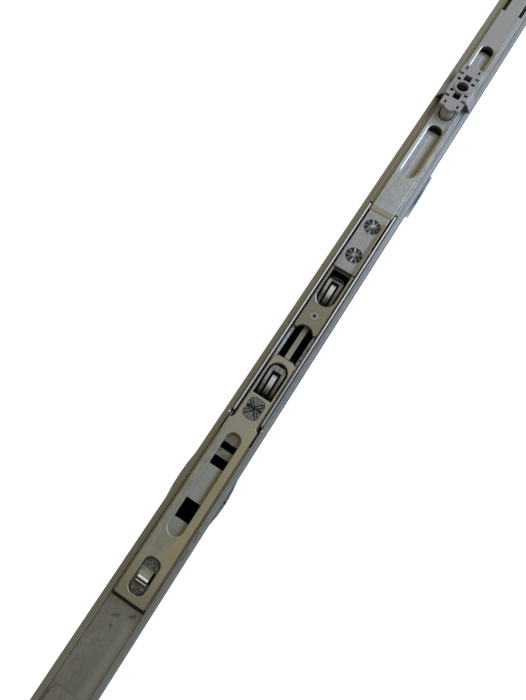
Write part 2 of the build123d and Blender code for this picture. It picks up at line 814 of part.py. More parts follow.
def case_half(side):
    """Pressed half of the case: wall, rim, boss, and the thin cheek that stands in the channel."""
    wall_y0 = case_width / 2 - case_wall
    wall_y1 = case_width / 2
    body = sideways(case_side_face(0), 0, wall_y1)
    body -= sideways(case_side_face(case_rim), 0, wall_y0)
    body += cross_pin(0, 0, journal_diameter / 2 + boss_wall, wall_y0, boss_width / 2)
    body -= block(case_x0, case_x1, 0, boss_width, web_bottom, face_z + boss_wall)
    body -= cross_pin(0, 0, journal_diameter / 2 + pin_clearance, 0, boss_width / 2)
    cheek_y0 = cheek_outer - cheek_wall
    root = web_bottom - case_wall
    crest = face_z - cheek_drop
    cheek = outline((cheek_x0, root), (cheek_x1, root), (cheek_x1, crest), (cheek_x0, crest))
    cheek = fillet([v for v in cheek.vertices() if v.Y > crest - cheek_corner], cheek_corner)
    body += sideways(cheek, cheek_y0, cheek_outer)
    for x, z in case_rivet_places:
        body -= cross_pin(x, z, case_rivet_diameter / 2 + seat_clearance, 0, case_width)
    for x in (-handle_screw_spacing / 2, handle_screw_spacing / 2):
        body -= cross_pin(x, 0, handle_screw_hole / 2 + sleeve_wall + seat_clearance, 0, case_width)
    if side < 0:
        body = mirror(body, Plane.XZ)
    return body


def case_rivets():
    """Rivets across the case, peened flush on both sides."""
    end = case_width / 2
    return Compound(children=[cross_pin(x, z, case_rivet_diameter / 2, -end, end)
                              for x, z in case_rivet_places])


def handle_screw_sleeves():
    """Tubes through the case for the two handle screws."""
    sleeves = []
    for x in (-handle_screw_spacing / 2, handle_screw_spacing / 2):
        tube = cross_pin(x, 0, handle_screw_hole / 2 + sleeve_wall, -case_width / 2, case_width / 2)
        tube -= cross_pin(x, 0, handle_screw_hole / 2, -case_width / 2, case_width / 2)
        sleeves.append(tube)
    return Compound(children=sleeves)


def detent_spring():
    """Leaf under the hub, with a foot on the case floor."""
    floor = case_bottom + case_rim
    top = -hub_radius - running_gap
    low = top - detent_thickness
    x0 = -detent_below_spindle
    foot = x0 + detent_foot
    face = outline((x0, floor), (foot, floor), (foot, low), (detent_above_spindle, low),
                   (detent_above_spindle, top), (x0, top))
    return sideways(face, -detent_width / 2, detent_width / 2)


def screw_guide_clip():
    """Moulded clip: stem in the guide slot, flat head over the rod, body with a screw hole, wings."""
    x = clip_screw_x
    top = face_z + clip_rise
    low = rod_top + running_gap
    stem_width = guide_slot_width - 2 * running_gap
    stem = round_slot(x - clip_stem_length / 2, x + clip_stem_length / 2, stem_width)
    body = upright(stem, web_top, top)
    gap = clip_screw_hole / 2 + clip_screw_room
    body -= upright(strip(x - gap, x + gap, stem_width), web_top, low)
    head = rounded_strip(x - clip_head_length / 2, x + clip_head_length / 2, clip_head_width,
                         clip_head_corner)
    body += upright(head, top - clip_head_thickness, top)
    half = clip_body_length / 2
    body += upright(rounded_strip(x - half, x + half, clip_body_width, clip_body_corner), low, top)
    body += clip_wings(x, top)
    ring = Pos(x, 0) * Circle(clip_ring_diameter / 2)
    body += upright(ring, top, top + clip_ring_rise)
    body -= upright(clip_holes(x), low, top + clip_ring_rise)
    body -= upright(clip_eyes(x), top - clip_eye_depth, top)
    return body


def clip_wings(x, top):
    """Saddle that arches over both flanges and stands on the face."""
    outer = clip_wing_radius
    centre_z = face_z - math.sqrt(outer ** 2 - (clip_wing_span / 2) ** 2)
    arch = Pos(0, centre_z) * Circle(outer) - Pos(0, centre_z) * Circle(outer - clip_wing_thickness)
    arch &= Pos(0, (face_z + top) / 2) * Rectangle(clip_wing_span, top - face_z)
    return along(arch, x - clip_wing_drop, x + clip_wing_reach)


def clip_holes(x):
    """Plan of what goes right through the clip: screw hole, pockets, end slots and side notches."""
    plan = Pos(x, 0) * Circle(clip_screw_hole / 2)
    notch_width = (clip_body_width - clip_bar_width) / 2
    notch_y = (clip_bar_width + notch_width) / 2
    notch_x = (clip_body_length + clip_notch_length) / 2
    for end in (1, -1):
        plan += Pos(x + end * clip_pocket_from_screw, 0) * Rectangle(clip_pocket_length, clip_pocket_width)
        for side in (1, -1):
            notch = Rectangle(clip_notch_length, notch_width)
            plan += Pos(x + end * notch_x, side * notch_y) * notch
            slot = Rectangle(clip_slot_length, clip_slot_width)
            plan += Pos(x + end * clip_slot_from_screw, side * clip_slot_spread / 2) * slot
    return plan


def clip_eyes(x):
    """Plan of the four small blind holes round the screw."""
    places = [(x + end * clip_eye_from_screw, side * clip_eye_spread / 2)
              for end in (1, -1) for side in (1, -1)]
    return Sketch() + [Pos(*place) * Rectangle(clip_eye_length, clip_eye_width) for place in places]


def rod_guide_strip():
    """Black strip on the web that the lower rod runs over."""
    x0 = lower_rod_x - travel
    x1 = case_x0
    half = lower_rod_width / 2
    return block(x0, x1, -half, half, web_top, web_top + guide_strip_thickness)


def rod_guide_pads():
    """Pads on the web under the upper rod, the first one under its guide slot."""
    slot_end = guide_slot_start + guide_slot_length
    first_x0 = clip_screw_x + clip_stem_length / 2 + guide_pad_from_clip
    second_x1 = upper_rod_above_spindle - travel
    half = rack_width / 2
    top = upper_rod_bottom - running_gap
    return Compound(children=[
        block(first_x0, slot_end - guide_pad_inset, -half, half, web_top, top),
        block(second_x1 - guide_pad_length, second_x1, -half, half, web_top, top)])


save("faceplate", faceplate(), ZINC)
save("left_case", case_half(1), STEEL)
save("right_case", case_half(-1), STEEL)
save("case_rivets", case_rivets(), STEEL)
save("handle_screw_sleeves", handle_screw_sleeves(), STEEL)
save("detent_spring", detent_spring(), STEEL)
save("screw_guide_clip", screw_guide_clip(), NYLON)
save("rod_guide_strip", rod_guide_strip(), DARK)
save("rod_guide_pads", rod_guide_pads(), DARK)
save("lower_rod", lower_rod(), ZINC)
save("lower_end_plate", lower_end_plate(), ZINC)
save("end_plate_rivets", end_plate_rivets(), STEEL)
save("lower_window_plate", lower_window_plate(), PASSIVATED)
save("shield_rivet", shield_rivet(), STEEL)
save("upper_window_plate", upper_window_plate(), PASSIVATED)
save("upper_plate_rivet", upper_plate_rivet(), STEEL)
save("coupling_block", coupling_block(), ZINC)
save("block_rivets", Compound(children=[block_rivet(x) for x in block_rivet_xs]), STEEL)
save("rack_bar", rack_bar(), STEEL)
save("upper_rod", upper_rod(), ZINC)
save("link_bar", link_bar(), PASSIVATED)
for name, x in (("lower", lower_pivot_x), ("upper", upper_pivot_x)):
    save(f"{name}_latch_fork", latch_fork(x), STEEL)
    save(f"{name}_latch_tongue", latch_tongue(x), STEEL)
    save(f"{name}_latch_cradle", latch_cradle(x), STEEL)
    save(f"{name}_latch_pin", latch_pin(x), STEEL)
    save(f"{name}_latch_spring", latch_spring(x), STEEL)
save("follower_hub", follower_hub(), STEEL)
print("travel", round(travel, 4), "pitch radius", pitch_radius)
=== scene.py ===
import bpy
from mathutils import Matrix, Vector


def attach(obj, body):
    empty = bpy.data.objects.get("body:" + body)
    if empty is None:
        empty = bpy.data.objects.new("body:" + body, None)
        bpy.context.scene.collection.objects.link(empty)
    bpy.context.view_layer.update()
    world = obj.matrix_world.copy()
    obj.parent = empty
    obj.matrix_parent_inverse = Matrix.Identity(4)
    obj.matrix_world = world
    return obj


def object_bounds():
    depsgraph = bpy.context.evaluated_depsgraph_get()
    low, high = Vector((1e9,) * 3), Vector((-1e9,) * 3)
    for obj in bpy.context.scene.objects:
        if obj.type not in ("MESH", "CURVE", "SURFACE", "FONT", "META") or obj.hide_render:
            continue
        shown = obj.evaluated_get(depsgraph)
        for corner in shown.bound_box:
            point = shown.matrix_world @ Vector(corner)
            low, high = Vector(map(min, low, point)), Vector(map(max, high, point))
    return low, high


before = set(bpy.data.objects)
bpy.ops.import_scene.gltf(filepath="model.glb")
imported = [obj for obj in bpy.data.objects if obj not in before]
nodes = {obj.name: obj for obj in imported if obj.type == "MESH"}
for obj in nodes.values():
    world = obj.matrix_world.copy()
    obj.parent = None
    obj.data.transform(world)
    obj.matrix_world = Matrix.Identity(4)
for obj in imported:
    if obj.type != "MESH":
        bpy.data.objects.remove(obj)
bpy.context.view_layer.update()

MM = 0.001

# Camera: the photograph's viewpoint, in the part's own frame
CAMERA_AT = Vector((-146.27, -14.78, 186.54)) * MM
CAMERA_LOOK = Vector((0.2801, 0.1278, -0.9514))
CAMERA_UP = Vector((0.7968, 0.5218, 0.3046))
FOCAL_PX = 529.6
IMAGE_LONG_SIDE_PX = 700
SENSOR_MM = 36.0
CLIP_NEAR = 0.005
CLIP_FAR = 60.0

# Floor and light, in metres and watts
FLOOR_GAP = 0.0002
FLOOR_SIZE = 40.0
FLOOR_GLOW = 0.8
FLOOR_COLOUR = 0.8
KEY_AT = (0.40, -0.45, 0.345)
KEY_AIM = (0, 0, 0.015)
KEY_SIZE = 0.55
KEY_POWER = 6.0
KEY_COLOUR = (0.68, 0.82, 1.0)
SKY_LOW = (0.30, 0.28, 0.22)
SKY_LOW_AT = 0.3
SKY_HIGH = (0.80, 0.76, 0.66)
SKY_HIGH_AT = 0.9

# Colours that several finishes use
BLACK = (0.002, 0.002, 0.002)
# Near black, for scratches and marks, and for painted shade in gaps, rims and holes
SCRATCH_AND_SHADE_DARK = (0.02, 0.019, 0.016)
# Dark brown, for dirt, mottle and dots, and for painted shade on the block's sides
DIRT_AND_SHADE = (0.06, 0.055, 0.045)
# Near white, for painted highlights
PAINTED_HIGHLIGHT = (0.90, 0.94, 1.0)
# Pale blue, for painted highlights
PALE_BLUE_HIGHLIGHT = (0.42, 0.46, 0.52)
COOL_ZINC = (0.30, 0.325, 0.355)
CASE_ZINC = (0.42, 0.45, 0.48)
ROD_LOW = (0.245, 0.24, 0.215)

# Numbers that several finishes use
METALLIC = 0.5
ROUGHNESS = 0.42
EVEN = (1.0, 1.0, 1.0)
MIDDLE = (-1.0, 1.0)
LINE_FADE = (0.42, 0.58)
BEVEL_SAMPLES = 4


def make_camera():
    data = bpy.data.cameras.new("camera")
    camera = bpy.data.objects.new("camera", data)
    bpy.context.scene.collection.objects.link(camera)
    back = -CAMERA_LOOK.normalized()
    side = CAMERA_UP.cross(back).normalized()
    up = back.cross(side)
    turn = Matrix((side, up, back)).transposed().to_4x4()
    camera.matrix_world = Matrix.Translation(CAMERA_AT) @ turn
    data.sensor_width = SENSOR_MM
    data.lens = FOCAL_PX / IMAGE_LONG_SIDE_PX * SENSOR_MM
    data.clip_start = CLIP_NEAR
    data.clip_end = CLIP_FAR
    bpy.context.scene.camera = camera


class Finish:
    """One procedural material, built node by node in the piece's own coordinates.

    A mask is a socket that carries 0 to 1. Places and sizes are given in mm, except to span.
    """

    def __init__(self, name, tone, metallic=METALLIC, roughness=ROUGHNESS):
        self.material = bpy.data.materials.new(name)
        self.material.use_nodes = True
        self.tree = self.material.node_tree
        self.tree.nodes.clear()
        self.shader = self.add("ShaderNodeBsdfPrincipled")
        self.shader.inputs["Metallic"].default_value = metallic
        self.shader.inputs["Roughness"].default_value = roughness
        output = self.add("ShaderNodeOutputMaterial")
        self.tree.links.new(self.shader.outputs[0], output.inputs["Surface"])
        self.place = self.add("ShaderNodeTexCoord").outputs["Object"]
        split = self.add("ShaderNodeSeparateXYZ")
        self.tree.links.new(self.place, split.inputs[0])
        self.x, self.y, self.z = split.outputs
        self.tone = tone

    def add(self, kind):
        return self.tree.nodes.new(kind)

    def put(self, socket, value):
        """Link an output to a socket, or set a plain value on it."""
        if isinstance(value, bpy.types.NodeSocket):
            self.tree.links.new(value, socket)
        elif socket.type == "RGBA":
            socket.default_value = (*value, 1.0)
        else:
            socket.default_value = value

    def math(self, operation, first, second=0.0):
        node = self.add("ShaderNodeMath")
        node.operation = operation
        self.put(node.inputs[0], first)
        self.put(node.inputs[1], second)
        return node.outputs[0]

    def every(self, first, *others):
        """The product of masks, so that each of them has to hold."""
        for other in others:
            first = self.math("MULTIPLY", first, other)
        return first

    def off(self, value, middle=0.0):
        """Distance from a middle to either side."""
        if middle:
            value = self.math("SUBTRACT", value, middle * MM)
        return self.math("ABSOLUTE", value)

    def span(self, value, low, high, start=0.0, end=1.0):
        """Turn a value's stretch low..high into start..end, held at both ends."""
        node = self.add("ShaderNodeMapRange")
        node.interpolation_type = "SMOOTHSTEP"
        for name, number in (("Value", value), ("From Min", low), ("From Max", high),
                             ("To Min", start), ("To Max", end)):
            self.put(node.inputs[name], number)
        return node.outputs[0]

    def reach(self, value, low, high, start=0.0, end=1.0):
        """As span, with the stretch in mm."""
        return self.span(value, low * MM, high * MM, start, end)

    def along(self, low, high, start=0.0, end=1.0):
        """From start to end as x rises from low to high."""
        return self.reach(self.x, low, high, start, end)

    def left_of(self, low, high):
        """1 towards the photograph's left, from low to high."""
        return self.reach(self.y, low, high)

    def right_of(self, low, high):
        """1 towards the photograph's right, from high down to low."""
        return self.reach(self.y, low, high, 1.0, 0.0)

    def above(self, low, high):
        return self.reach(self.z, low, high)

    def below(self, low, high):
        return self.reach(self.z, low, high, 1.0, 0.0)

    def band(self, value, low, high, soft):
        """1 between low and high, 0 outside, with soft edges."""
        rise = self.reach(value, low - soft, low + soft)
        fall = self.reach(value, high - soft, high + soft, 1.0, 0.0)
        return self.every(rise, fall)

    def box(self, x0, x1, y0, y1, soft):
        return self.every(self.band(self.x, x0, x1, soft), self.band(self.y, y0, y1, soft))

    def length(self, first, second):
        """Length of the vector with these two parts, both of them 0 or more."""
        squares = self.math("ADD", self.math("POWER", first, 2.0), self.math("POWER", second, 2.0))
        return self.math("SQRT", squares)

    def spot(self, x, y, radius, soft=0.5):
        """1 within a radius of a place in plan, with a soft rim."""
        far = self.length(self.off(self.x, x), self.off(self.y, y))
        return self.reach(far, radius - radius * soft, radius + radius * soft, 1.0, 0.0)

    def slot_distance(self, x0, x1, width):
        """Distance in metres from the edge of a round-ended slot, negative inside."""
        half = (x1 - x0 - width) / 2 * MM
        past_half = self.math("SUBTRACT", self.off(self.x, (x0 + x1) / 2), half)
        beyond = self.math("MAXIMUM", past_half, 0.0)
        return self.math("SUBTRACT", self.length(beyond, self.off(self.y)), width / 2 * MM)

    def noise(self, size, stretch=EVEN, detail=3.0, rough=0.55):
        """Noise between 0 and 1 with features of a size, stretched per axis."""
        mapping = self.add("ShaderNodeMapping")
        self.put(mapping.inputs["Vector"], self.place)
        scale = tuple(1.0 / (size * MM * part) for part in stretch)
        mapping.inputs["Scale"].default_value = scale
        node = self.add("ShaderNodeTexNoise")
        self.put(node.inputs["Vector"], mapping.outputs[0])
        node.inputs["Scale"].default_value = 1.0
        node.inputs["Detail"].default_value = detail
        node.inputs["Roughness"].default_value = rough
        return node.outputs["Fac"]

    def layer(self, mask, colour):
        """Lay a colour over the tone where the mask is 1."""
        node = self.add("ShaderNodeMix")
        node.data_type = "RGBA"
        self.put(node.inputs["Factor"], mask)
        first, second = [socket for socket in node.inputs if socket.type == "RGBA"]
        self.put(first, self.tone)
        self.put(second, colour)
        self.tone = [socket for socket in node.outputs if socket.type == "RGBA"][0]

    def surface(self, height, depth, edge):
        """Fine relief, over edges that read as broken by a small radius, where there is one."""
        relief = self.add("ShaderNodeBump")
        relief.inputs["Distance"].default_value = depth * MM
        self.put(relief.inputs["Height"], height)
        if edge:
            broken = self.add("ShaderNodeBevel")
            broken.samples = BEVEL_SAMPLES
            broken.inputs["Radius"].default_value = edge * MM
            self.put(relief.inputs["Normal"], broken.outputs[0])
        self.put(self.shader.inputs["Normal"], relief.outputs[0])

    def done(self):
        self.put(self.shader.inputs["Base Color"], self.tone)
        return self.material


def make_floor():
    """White floor, whose own white only the camera, gloss and glass see."""
    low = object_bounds()[0][2]
    mesh = bpy.data.meshes.new("floor")
    half = FLOOR_SIZE / 2
    z = low - FLOOR_GAP
    corners = [(-half, -half, z), (half, -half, z), (half, half, z), (-half, half, z)]
    mesh.from_pydata(corners, [], [(0, 1, 2, 3)])
    floor = bpy.data.objects.new("floor", mesh)
    bpy.context.scene.collection.objects.link(floor)
    material = bpy.data.materials.new("floor_white")
    material.use_nodes = True
    tree = material.node_tree
    tree.nodes.clear()
    output = tree.nodes.new("ShaderNodeOutputMaterial")
    ray = tree.nodes.new("ShaderNodeLightPath")
    seen = tree.nodes.new("ShaderNodeMath")
    seen.operation = "MAXIMUM"
    seen_all = tree.nodes.new("ShaderNodeMath")
    seen_all.operation = "MAXIMUM"
    plain = tree.nodes.new("ShaderNodeBsdfDiffuse")
    plain.inputs["Color"].default_value = (FLOOR_COLOUR, FLOOR_COLOUR, FLOOR_COLOUR, 1)
    glow = tree.nodes.new("ShaderNodeEmission")
    strength = tree.nodes.new("ShaderNodeMath")
    strength.operation = "MULTIPLY"
    strength.inputs[1].default_value = FLOOR_GLOW
    both = tree.nodes.new("ShaderNodeAddShader")
    link = tree.links.new
    link(ray.outputs["Is Camera Ray"], seen.inputs[0])
    link(ray.outputs["Is Glossy Ray"], seen.inputs[1])
    link(seen.outputs[0], seen_all.inputs[0])
    link(ray.outputs["Is Transmission Ray"], seen_all.inputs[1])
    link(seen_all.outputs[0], strength.inputs[0])
    link(strength.outputs[0], glow.inputs["Strength"])
    link(plain.outputs[0], both.inputs[0])
    link(glow.outputs[0], both.inputs[1])
    link(both.outputs[0], output.inputs["Surface"])
    mesh.materials.append(material)


def make_light(name, at, aim, size, power, colour):
    data = bpy.data.lights.new(name, "AREA")
    data.size = size
    data.energy = power
    data.color = colour
    light = bpy.data.objects.new(name, data)
    light.location = at
    direction = Vector(aim) - Vector(at)
    light.rotation_euler = direction.to_track_quat("-Z", "Y").to_euler()
    bpy.context.scene.collection.objects.link(light)


def make_world():
    """Plain soft sky, warm, and brighter towards the upper end of the faceplate."""
    world = bpy.data.worlds.new("studio")
    bpy.context.scene.world = world
    world.use_nodes = True
    tree = world.node_tree
    where = tree.nodes.new("ShaderNodeTexCoord")
    split = tree.nodes.new("ShaderNodeSeparateXYZ")
    ramp = tree.nodes.new("ShaderNodeValToRGB")
    spread = tree.nodes.new("ShaderNodeMapRange")
    spread.inputs["From Min"].default_value = -1.0
    spread.inputs["From Max"].default_value = 1.0
    tree.links.new(where.outputs["Generated"], split.inputs[0])
    tree.links.new(split.outputs["X"], spread.inputs["Value"])
    tree.links.new(spread.outputs[0], ramp.inputs[0])
    low, high = ramp.color_ramp.elements
    low.position = SKY_LOW_AT
    low.color = (*SKY_LOW, 1)
    high.position = SKY_HIGH_AT
    high.color = (*SKY_HIGH, 1)
    tree.links.new(ramp.outputs[0], tree.nodes["Background"].inputs["Color"])


# Wear of the metal. A pattern is its size in mm, stretch, detail and roughness, and a fade is the
# stretch of its values over which it comes or goes.
STREAKS, STREAK_FADE = (0.5, (40.0, 1.0, 1.0), 4.0), (0.35, 0.7)
STAINS, STAIN_FADE = (5.0, (1.6, 1.0, 1.0), 5.0), (0.35, 0.6)
SKIN, SKIN_FADE = (0.9, (1.5, 1.0, 1.0), 4.0, 0.7), (0.40, 0.62)
SPECKS, SPECK_FADE = (0.35, (1.3, 1.0, 1.0), 2.0), (0.66, 0.76)
STAIN_TONE = (0.07, 0.06, 0.035)
SPECK_TONE = (0.06, 0.055, 0.04)
SKIN_SHARE = 0.20
DULL_FADE, DULLER, GLOSSIER = (0.3, 0.7), 0.1, 0.06
SKIN_RELIEF, SPECK_RELIEF, WEAR_DEPTH = 0.7, 0.3, 0.03


def worn(name, tone, metallic=METALLIC, roughness=ROUGHNESS, streak=0.08, stain=0.18, speck=0.35,
         edge=0.2):
    """Dull rolled metal: streaks along X, soft stains, a mottled skin and fine dark specks."""
    finish = Finish(name, tone, metallic, roughness)
    streaks = finish.noise(*STREAKS)
    stains = finish.noise(*STAINS)
    skin = finish.noise(*SKIN)
    specks = finish.noise(*SPECKS)
    finish.layer(finish.span(streaks, *STREAK_FADE, streak, 0.0), BLACK)
    finish.layer(finish.span(stains, *STAIN_FADE, stain, 0.0), STAIN_TONE)
    finish.layer(finish.span(skin, *SKIN_FADE, SKIN_SHARE, 0.0), DIRT_AND_SHADE)
    finish.layer(finish.span(specks, *SPECK_FADE, 0.0, speck), SPECK_TONE)
    finish.put(finish.shader.inputs["Roughness"],
               finish.span(stains, *DULL_FADE, roughness + DULLER, roughness - GLOSSIER))
    relief = finish.math("ADD", finish.math("MULTIPLY", skin, SKIN_RELIEF),
                         finish.math("MULTIPLY", specks, SPECK_RELIEF))
    finish.surface(relief, WEAR_DEPTH, edge)
    return finish


# Faceplate. Of four numbers for a place, the last two are the shares at its two ends.
DULL_ZINC = (0.235, 0.232, 0.21)
FACE_TINTS = ((-190.0, -90.0, 0.85, 0.0, DULL_ZINC),
              (-60.0, -20.0, 0.0, 1.0, (0.325, 0.355, 0.395)),
              (10.0, 70.0, 0.0, 1.0, (0.27, 0.29, 0.315)))
LEFT_FLANGE_SHADE_FADE, LEFT_FLANGE_SHADE_TONE = (-4.0, 5.0), (0.19, 0.172, 0.122)
LEFT_FLANGE = (0.0, 5.0)
FLANGE_TOP, FLANGE_TOP_TONE = (20.0, 70.0, 0.0, 0.6), (0.25, 0.25, 0.235)
FLANGE_FOOT = (-205.0, -170.0, 0.6, 0.0)
LEFT_SHADOW_LINE, LEFT_SHADOW_ALONG, LEFT_SHADOW_TONE = (6.0, 6.75, 0.2), (-190.0, -160.0, 0.0, 0.55), (0.11, 0.09, 0.05)
ROLLED_LINES, ROLLED_BAND = (0.22, (90.0, 1.0, 40.0), 2.0), (-7.2, -6.0, 0.15)
ROLLED_SHARE, ROLLED_TONE = 0.28, (0.10, 0.11, 0.12)
OUTER_EDGE, OUTER_TONE = (-7.9, -7.3), (0.12, 0.135, 0.155)
OUTER_FOOT, OUTER_FOOT_TONE = (-190.0, -150.0, 0.5, 0.0), (0.13, 0.128, 0.115)
INSIDE = (-6.15, 6.15, 0.05)
WALL, WALL_LIGHT_TONE = (12.5, 14.6), (0.62, 0.67, 0.74)
LEFT_WALL, LEFT_WALL_SHADE_TONE = (12.5, 14.8), (0.21, 0.18, 0.11)
FOOT, FOOT_LEDGE, FOOT_TONE = (-126.2, -125.4, 1.0, 0.0), (14.6, 14.9), (0.42, 0.39, 0.31)
CHANNEL_FLOOR = (10.4, 12.4)
NECK, NECK_LEDGE, NECK_TONE = (110.0, 114.0), (13.0, 14.4), (0.30, 0.31, 0.32)
NECK_LEFT, NECK_LEFT_SHADE_TONE = (0.0, 1.0), (0.24, 0.21, 0.14)
STAKE_X, STAKE_Y, STAKE_RADIUS = -119.4, 6.2, 0.35
BOSS_MARK = (-144.4, -8.6, 0.5)
SCRATCHES = ((-159.2, -157.4, -6.9), (-157.6, -155.6, -6.75), (-165.5, -161.5, -6.85))
SCRATCH_HALF, SCRATCH_SHARE = 0.12, 0.75


def faceplate_finish():
    finish = worn("rolled_zinc", COOL_ZINC, edge=0)
    for low, high, start, end, tone in FACE_TINTS:
        finish.layer(finish.along(low, high, start, end), tone)
    # Painted shade: browner towards the left side
    finish.layer(finish.left_of(*LEFT_FLANGE_SHADE_FADE), LEFT_FLANGE_SHADE_TONE)
    flange = finish.left_of(*LEFT_FLANGE)
    finish.layer(finish.every(flange, finish.along(*FLANGE_TOP)), FLANGE_TOP_TONE)
    finish.layer(finish.every(flange, finish.along(*FLANGE_FOOT)), DULL_ZINC)
    # Painted shadow: a dark brown line beside the window plate's left edge, towards the lower end
    shadow_line = finish.band(finish.y, *LEFT_SHADOW_LINE)
    finish.layer(finish.every(shadow_line, finish.along(*LEFT_SHADOW_ALONG)), LEFT_SHADOW_TONE)
    lines = finish.span(finish.noise(*ROLLED_LINES), *LINE_FADE, ROLLED_SHARE, 0.0)
    finish.layer(finish.every(finish.band(finish.y, *ROLLED_BAND), lines), ROLLED_TONE)
    outer_edge = finish.right_of(*OUTER_EDGE)
    finish.layer(finish.every(outer_edge, finish.along(*OUTER_FOOT)), OUTER_FOOT_TONE)
    finish.layer(outer_edge, OUTER_TONE)
    for name, start, end in (("Metallic", METALLIC, 0.0), ("Roughness", ROUGHNESS, 1.0)):
        finish.put(finish.shader.inputs[name], finish.span(outer_edge, 0.0, 1.0, start, end))
    # Painted light and shade inside the channel: the walls pale blue as if lit, brown on the left
    # as shade
    inside = finish.band(finish.y, *INSIDE)
    left_wall = finish.every(inside, finish.left_of(*MIDDLE), finish.below(*LEFT_WALL))
    finish.layer(finish.every(inside, finish.below(*WALL)), WALL_LIGHT_TONE)
    finish.layer(left_wall, LEFT_WALL_SHADE_TONE)
    foot = finish.every(inside, finish.along(*FOOT), finish.below(*FOOT_LEDGE))
    finish.layer(foot, FOOT_TONE)
    # Painted shade: black low down in the channel
    finish.layer(finish.every(inside, finish.below(*CHANNEL_FLOOR)), BLACK)
    neck = finish.every(inside, finish.along(*NECK), finish.below(*NECK_LEDGE))
    finish.layer(neck, NECK_TONE)
    # Painted shade: brown on the left beside the neck
    finish.layer(finish.every(neck, finish.left_of(*NECK_LEFT)), NECK_LEFT_SHADE_TONE)
    # Painted highlight: bright spots on the channel's inner edges at the stakes
    for side in (1, -1):
        finish.layer(finish.spot(STAKE_X, side * STAKE_Y, STAKE_RADIUS), PAINTED_HIGHLIGHT)
    finish.layer(finish.spot(*BOSS_MARK), SCRATCH_AND_SHADE_DARK)
    for x0, x1, y in SCRATCHES:
        line = finish.box(x0, x1, y - SCRATCH_HALF, y + SCRATCH_HALF, SCRATCH_HALF)
        finish.layer(finish.every(line, SCRATCH_SHARE), SCRATCH_AND_SHADE_DARK)
    return finish.done()


CASE_INSIDE, CASE_DARK = (-4.75, 4.75, 0.03), (8.0, 9.0)
CASE_CHANNEL, CASE_ABOVE, CHEEK_GAP_SHADE = (-6.3, 6.3, 0.1), (8.6, 8.9), (0.05, 0.045, 0.035)
CASE_RIGHT, CASE_RIGHT_HEIGHT, CASE_RIGHT_TONE = (-6.6, -6.3), (2.0, 5.0), (0.22, 0.25, 0.29)
CHEEK_HEIGHT, CHEEK_ALONG = (13.0, 13.6), (-62.0, -50.0)
CHEEK_LEFT_LIGHT_TONE, CHEEK_RIGHT_SHADE_TONE = (0.20, 0.235, 0.31), (0.16, 0.14, 0.09)
CREST_HEIGHT, CREST_LINE, CREST_TONE = (14.3, 14.7), (5.27, 5.53, 0.08), (0.30, 0.33, 0.37)
LEFT_CREST, RIGHT_CREST = (-120.0, -70.0, 0.55, 1.0), (-112.0, -70.0, 0.12, 1.0)


def case_finish():
    """Painted highlight along the crest of the cheeks, painted shade black inside the channel and
    the case.
    """
    finish = worn("case_steel", CASE_ZINC, edge=0.1)
    left, right = finish.left_of(*MIDDLE), finish.right_of(*MIDDLE)
    # Painted shade: black deep inside the case
    inside = finish.band(finish.y, *CASE_INSIDE)
    finish.layer(finish.every(inside, finish.below(*CASE_DARK)), BLACK)
    # Painted shade: the cheeks dark within the channel
    channel = finish.band(finish.y, *CASE_CHANNEL)
    finish.layer(finish.every(finish.above(*CASE_ABOVE), channel), CHEEK_GAP_SHADE)
    outside = finish.every(finish.right_of(*CASE_RIGHT), finish.above(*CASE_RIGHT_HEIGHT))
    finish.layer(outside, CASE_RIGHT_TONE)
    # Painted light and shade on the cheeks near the top: bluish on the left, brown on the right
    cheek = finish.every(finish.above(*CHEEK_HEIGHT), finish.along(*CHEEK_ALONG))
    finish.layer(finish.every(cheek, left), CHEEK_LEFT_LIGHT_TONE)
    finish.layer(finish.every(cheek, right), CHEEK_RIGHT_SHADE_TONE)
    crest = finish.above(*CREST_HEIGHT)
    finish.layer(crest, CREST_TONE)
    # Painted highlight: a bright line along each cheek's crest
    line = finish.every(crest, finish.band(finish.off(finish.y), *CREST_LINE))
    finish.layer(finish.every(line, finish.along(*LEFT_CREST), left), PAINTED_HIGHLIGHT)
    finish.layer(finish.every(line, finish.along(*RIGHT_CREST), right), PAINTED_HIGHLIGHT)
    return finish.done()


ROD_FADE, ROD_MID = (-168.0, -150.0), (0.33, 0.335, 0.325)
ROD_SLOT, ROD_SLOT_RIGHT, ROD_SLOT_SHADE_TONE = (-162.0, -124.0, 0.5), (-1.9, -0.7), (0.21, 0.185, 0.115)
PATCHES = (1.1, EVEN, 4.0)
OLIVE_ALONG, OLIVE_PATCHES = (-133.5, -124.0, 0.4), (0.38, 0.6, 1.0, 0.55)
OLIVE_SHADE_TONE = (0.13, 0.125, 0.085)
ROD_RIGHT, ROD_FOOT, ROD_FOOT_LIGHT_TONE = (-5.2, -1.5), (-190.0, -184.0, 1.0, 0.0), (0.32, 0.325, 0.305)
ROD_SIDE, ROD_SIDE_LIGHT_TONE = (5.25, 5.4), (0.52, 0.46, 0.34)
ROD_RIGHT_SIDE, ROD_RIGHT_SIDE_LIGHT_TONE = (-5.4, -5.2), (0.40, 0.42, 0.44)
ROD_SIDE_ALONG = (-183.0, -182.5)
PLATE_END_SHADOW, PLATE_END_SHADOW_TONE = (-183.75, -182.3, -5.75, 5.75, 0.08), (0.010, 0.011, 0.008)
CLINCH_START, CLINCH_END, CLINCH_WIDTH = -180.3, -168.9, 5.5
LOBES, LOBE_FADE = (0.7, EVEN, 5.0), (0.35, 0.62, 1.0, 0.3)
LOBE_HEIGHT, LOBE_TONE = (13.5, 14.2), (0.035, 0.035, 0.03)
CLINCH_RIM, CLINCH_RIM_HEIGHT = (-0.6, -0.1), (13.3, 13.9)
TROUGH, TROUGH_TONE = (CLINCH_START + 5.4, CLINCH_START + 7.9, -1.7, 2.2, 0.1), (0.46, 0.47, 0.40)
CURLS = ((3.5, 0.6, 0.55), (4.5, 0.95, 1.0))
